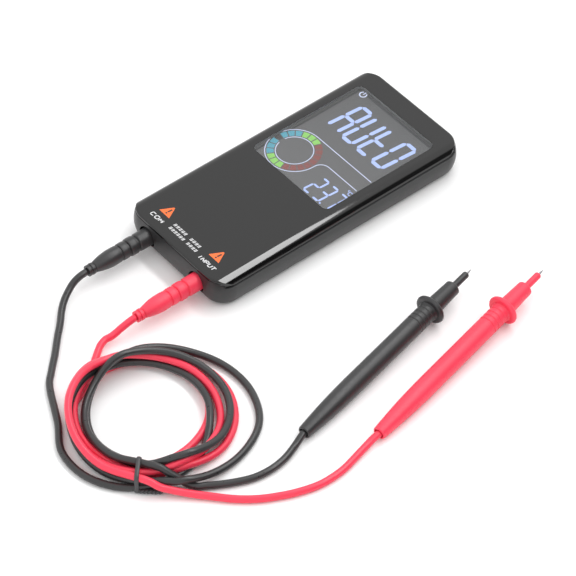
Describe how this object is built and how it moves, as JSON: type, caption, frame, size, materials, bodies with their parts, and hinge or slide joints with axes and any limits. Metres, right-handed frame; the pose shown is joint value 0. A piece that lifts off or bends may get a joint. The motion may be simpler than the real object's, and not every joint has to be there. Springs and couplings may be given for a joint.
{
  "type": "digital multimeter",
  "caption": "Slim pocket multimeter with a large display, side buttons and a pair of plugged-in, coiled test leads with probes.",
  "frame": {"origin": "centre of the meter's flat back, on the surface it lies on", "axes": "+Y towards the display end, the jacks are at -Y, +X to the right of the display, +Z out of the display"},
  "size_m": [0.1818, 0.262, 0.017],
  "materials": {
    "case_plastic": "satin black ABS",
    "gloss_panel": "high-gloss black",
    "window": "clear gloss",
    "display": "grey display glass",
    "pale_plastic": "white moulded plastic",
    "contact_rubber": "pinkish grey silicone",
    "board": "green solder mask on fibreglass",
    "chip_plastic": "black moulded resin",
    "plated_steel": "nickel plated",
    "resistor_lacquer": "lacquered",
    "brass": "turned brass",
    "cell_can": "printed sleeve",
    "screw_steel": "zinc plated",
    "button_plastic": "satin dark grey",
    "black_lead": "satin black moulding",
    "red_lead": "satin red moulding",
    "black_cord": "soft black insulation",
    "red_cord": "soft red insulation",
    "tie_plastic": "plastic-coated wire",
    "needle_steel": "nickel plated steel"
  },
  "bodies": {
    "meter": {"rear_case": "case_plastic", "front_panel": "gloss_panel", "display_window": "window", "display_glass": "display", "light_guide": "pale_plastic", "display_frame": "pale_plastic", "contact_strips": "contact_rubber", "main_board": "board", "measuring_chip": "chip_plastic", "processor_chip": "chip_plastic", "crystal": "plated_steel", "input_resistors": "resistor_lacquer", "ptc_thermistor": "resistor_lacquer", "buzzer": "chip_plastic", "jack_block": "chip_plastic", "com_jack": "brass", "input_jack": "brass", "left_battery": "cell_can", "right_battery": "cell_can", "battery_springs": "plated_steel", "battery_contacts": "plated_steel", "battery_door": "case_plastic", "door_screw": "screw_steel", "case_screws": "screw_steel", "button_switches": "chip_plastic"},
    "power_key": {"power_button": "button_plastic"},
    "function_key": {"function_button": "button_plastic"},
    "hold_key": {"hold_button": "button_plastic"},
    "test_leads": {"com_plug": "black_lead", "input_plug": "red_lead", "com_pin": "brass", "input_pin": "brass", "com_cord_plug_end": "black_cord", "com_cord_probe_end": "black_cord", "input_cord_plug_end": "red_cord", "input_cord_probe_end": "red_cord", "lead_coil": "black_cord", "wire_tie": "tie_plastic", "com_handle": "black_lead", "input_handle": "red_lead", "com_tip_sleeve": "black_lead", "input_tip_sleeve": "red_lead", "com_needle": "needle_steel", "input_needle": "needle_steel"}
  },
  "joints": [
    {"name": "power_key_press", "type": "slide", "parent": "meter", "child": "power_key", "axis": [1, 0, 0], "range_m": [0, 0.0004], "stiffness_N_per_m": 300, "springref_m": -0.003},
    {"name": "function_key_press", "type": "slide", "parent": "meter", "child": "function_key", "axis": [1, 0, 0], "range_m": [0, 0.0004], "stiffness_N_per_m": 300, "springref_m": -0.003},
    {"name": "hold_key_press", "type": "slide", "parent": "meter", "child": "hold_key", "axis": [1, 0, 0], "range_m": [0, 0.0004], "stiffness_N_per_m": 300, "springref_m": -0.003},
    {"name": "leads_pull_out", "type": "slide", "parent": "meter", "child": "test_leads", "axis": [0, -1, 0], "range_m": [0, 0.024]}
  ]
}
